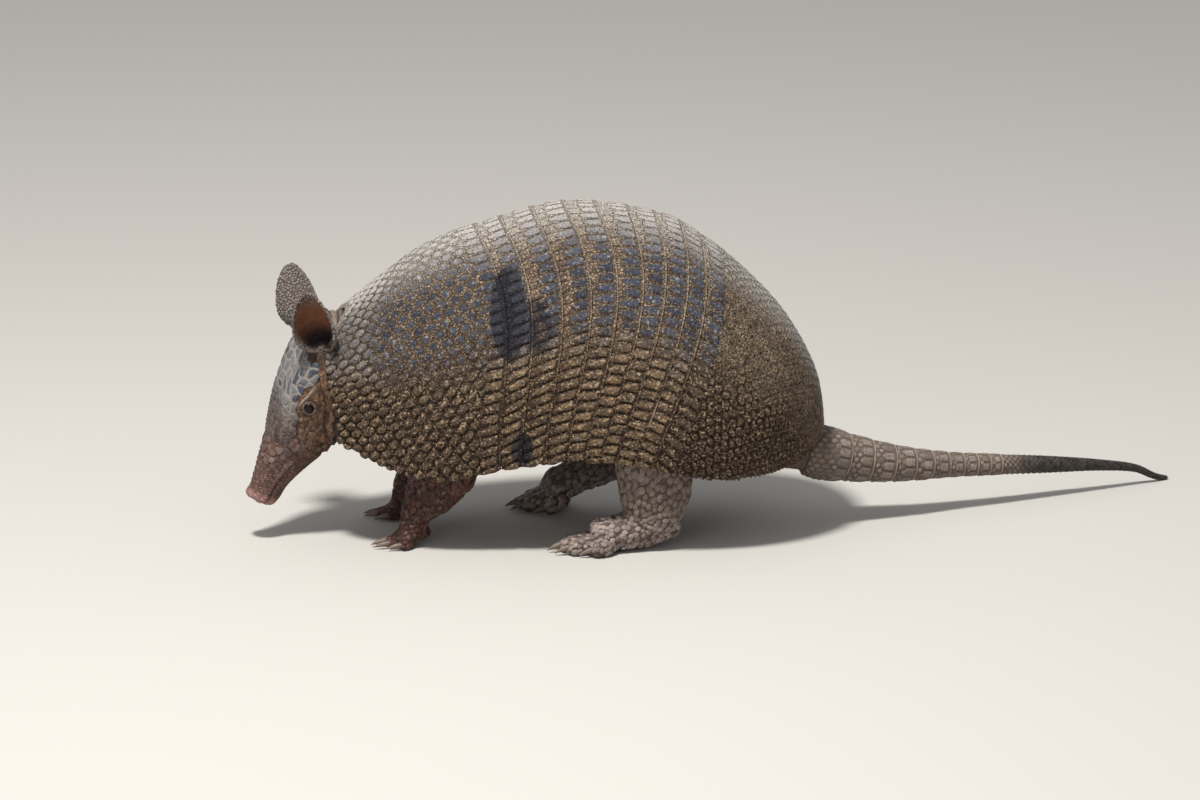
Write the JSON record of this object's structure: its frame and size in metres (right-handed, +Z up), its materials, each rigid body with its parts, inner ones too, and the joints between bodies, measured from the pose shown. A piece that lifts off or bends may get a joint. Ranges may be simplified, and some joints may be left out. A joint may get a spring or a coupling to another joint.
{
  "type": "armadillo",
  "caption": "Still life-size model of a nine-banded armadillo walking with its nose near the ground: domed banded shell, scaled head, clawed feet and ringed tail.",
  "frame": {"origin": "the middle of the footprint (the bounding box) at the floor, under the hip shield", "axes": "-X the way the animal walks and its nose points, +X toward the tail, -Y its left side, +Z up"},
  "size_m": [0.5696, 0.1556, 0.203],
  "materials": {
    "shell": "bony scutes under horn, grey-brown with slate-blue on the back, semi-matt",
    "band": "movable bands of narrow scutes, grey-brown with pale edges, semi-matt",
    "head_plate": "large flat scutes, slate-grey with pale joints, semi-matt",
    "skin": "bare wrinkled skin with small scales, warm brown, matt",
    "limb": "leathery skin set with oval scales, brown with a reddish cast on the feet, matt",
    "ear": "thin leathery ear, finely pebbled, grey-brown behind and red-brown within, matt",
    "tail_ring": "bony rings with small keeled scales, grey-brown, semi-matt",
    "tail_end": "fine dark scales, nearly black, semi-matt",
    "claw": "horn, pale grey-tan, smooth and a little glossy",
    "eye": "wet black, glossy"
  },
  "bodies": {
    "root": {"head": "skin", "head_shield": "head_plate", "neck": "skin", "trunk": "skin", "eye_left": "eye", "ear_left": "ear", "eye_right": "eye", "ear_right": "ear", "shell_scapular": "shell", "shell_band_1": "band", "shell_band_2": "band", "shell_band_3": "band", "shell_band_4": "band", "shell_band_5": "band", "shell_band_6": "band", "shell_band_7": "band", "shell_band_8": "band", "shell_pelvic": "shell", "tail_ring_1": "tail_ring", "tail_ring_2": "tail_ring", "tail_ring_3": "tail_ring", "tail_ring_4": "tail_ring", "tail_ring_5": "tail_ring", "tail_ring_6": "tail_ring", "tail_ring_7": "tail_ring", "tail_ring_8": "tail_ring", "tail_ring_9": "tail_ring", "tail_ring_10": "tail_ring", "tail_end": "tail_end", "tail_tip": "tail_end", "front_left_leg": "limb", "front_left_foot": "limb", "front_left_claw_1": "claw", "front_left_claw_2": "claw", "front_left_claw_3": "claw", "front_left_claw_4": "claw", "front_right_leg": "limb", "front_right_foot": "limb", "front_right_claw_1": "claw", "front_right_claw_2": "claw", "front_right_claw_3": "claw", "front_right_claw_4": "claw", "hind_left_leg": "limb", "hind_left_foot": "limb", "hind_left_claw_1": "claw", "hind_left_claw_2": "claw", "hind_left_claw_3": "claw", "hind_left_claw_4": "claw", "hind_left_claw_5": "claw", "hind_right_leg": "limb", "hind_right_foot": "limb", "hind_right_claw_1": "claw", "hind_right_claw_2": "claw", "hind_right_claw_3": "claw", "hind_right_claw_4": "claw", "hind_right_claw_5": "claw"}
  },
  "joints": []
}
